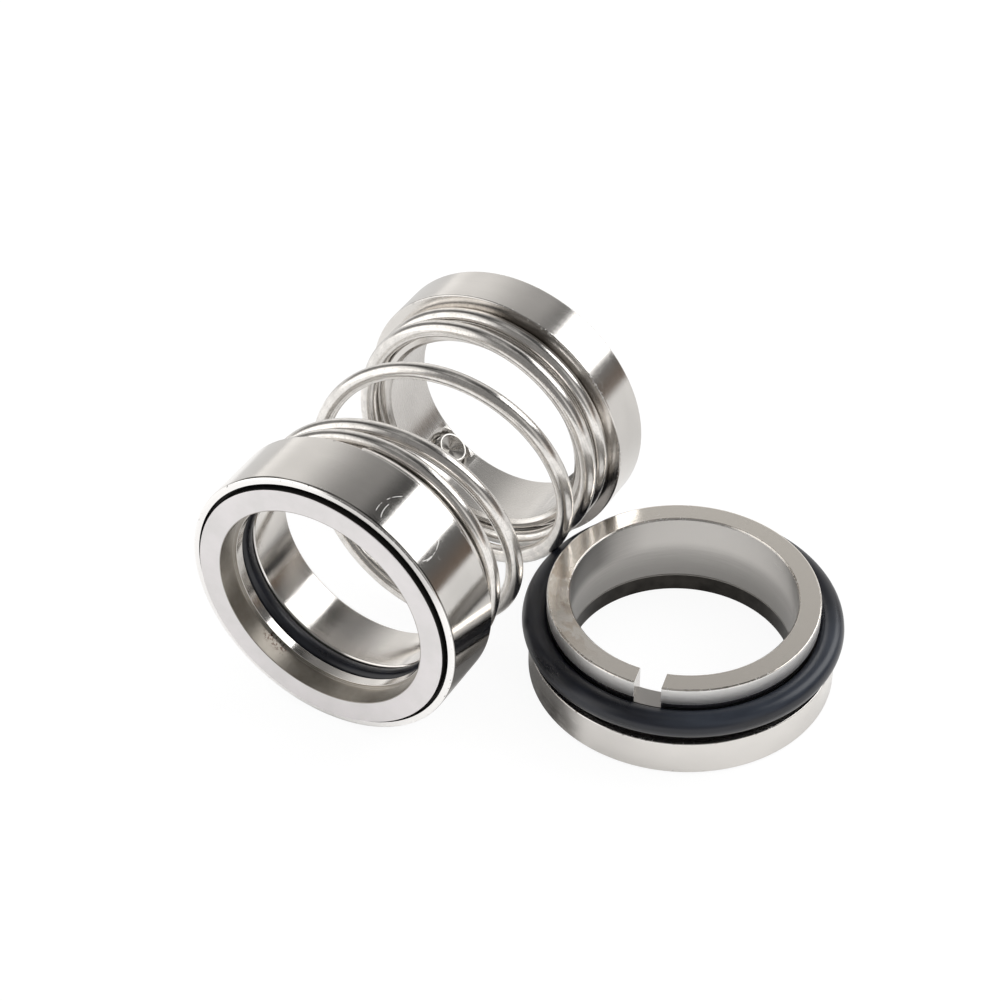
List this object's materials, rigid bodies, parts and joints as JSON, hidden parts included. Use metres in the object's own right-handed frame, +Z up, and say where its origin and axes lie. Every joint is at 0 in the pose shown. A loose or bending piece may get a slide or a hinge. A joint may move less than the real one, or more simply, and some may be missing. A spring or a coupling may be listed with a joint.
{
  "type": "mechanical seal",
  "caption": "Mechanical shaft seal: a rotary head with face ring, wound spring and drive collar, lying on its side, and its flanged seat with O-ring and notch beside it.",
  "frame": {"origin": "on the floor, under the middle of the box round head and seat together", "axes": "+X along the head's axis from its lapped face to its drive collar, +Z up along the seat's axis, and the seat on the -Y side of the head"},
  "size_m": [0.093, 0.133, 0.068],
  "materials": {
    "polished_steel": "turned and polished",
    "satin_steel": "fine turned",
    "spring_wire": "drawn wire",
    "screw_steel": "plain",
    "hard_face": "lapped, matt",
    "seal_rubber": "smooth moulded"
  },
  "bodies": {
    "drive_side": {"drive_collar": "polished_steel", "spring": "spring_wire", "seat_ring": "satin_steel", "stationary_face": "hard_face", "seat_o_ring": "seal_rubber"},
    "face_side": {"face_ring": "polished_steel", "rotary_face": "hard_face", "shaft_o_ring": "seal_rubber"},
    "far_screw": {"set_screw_far": "screw_steel"},
    "near_screw": {"set_screw_near": "screw_steel"}
  },
  "joints": [
    {"name": "spring_travel", "type": "slide", "parent": "drive_side", "child": "face_side", "axis": [1, 0, 0], "range_m": [0, 0.012], "stiffness_N_per_m": 3300, "deforming": ["spring"]},
    {"name": "far_screw_out", "type": "slide", "parent": "drive_side", "child": "far_screw", "axis": [0, 0.6157, -0.788], "range_m": [0, 0.0026]},
    {"name": "near_screw_out", "type": "slide", "parent": "drive_side", "child": "near_screw", "axis": [0, -0.766, -0.6428], "range_m": [0, 0.0026]}
  ]
}
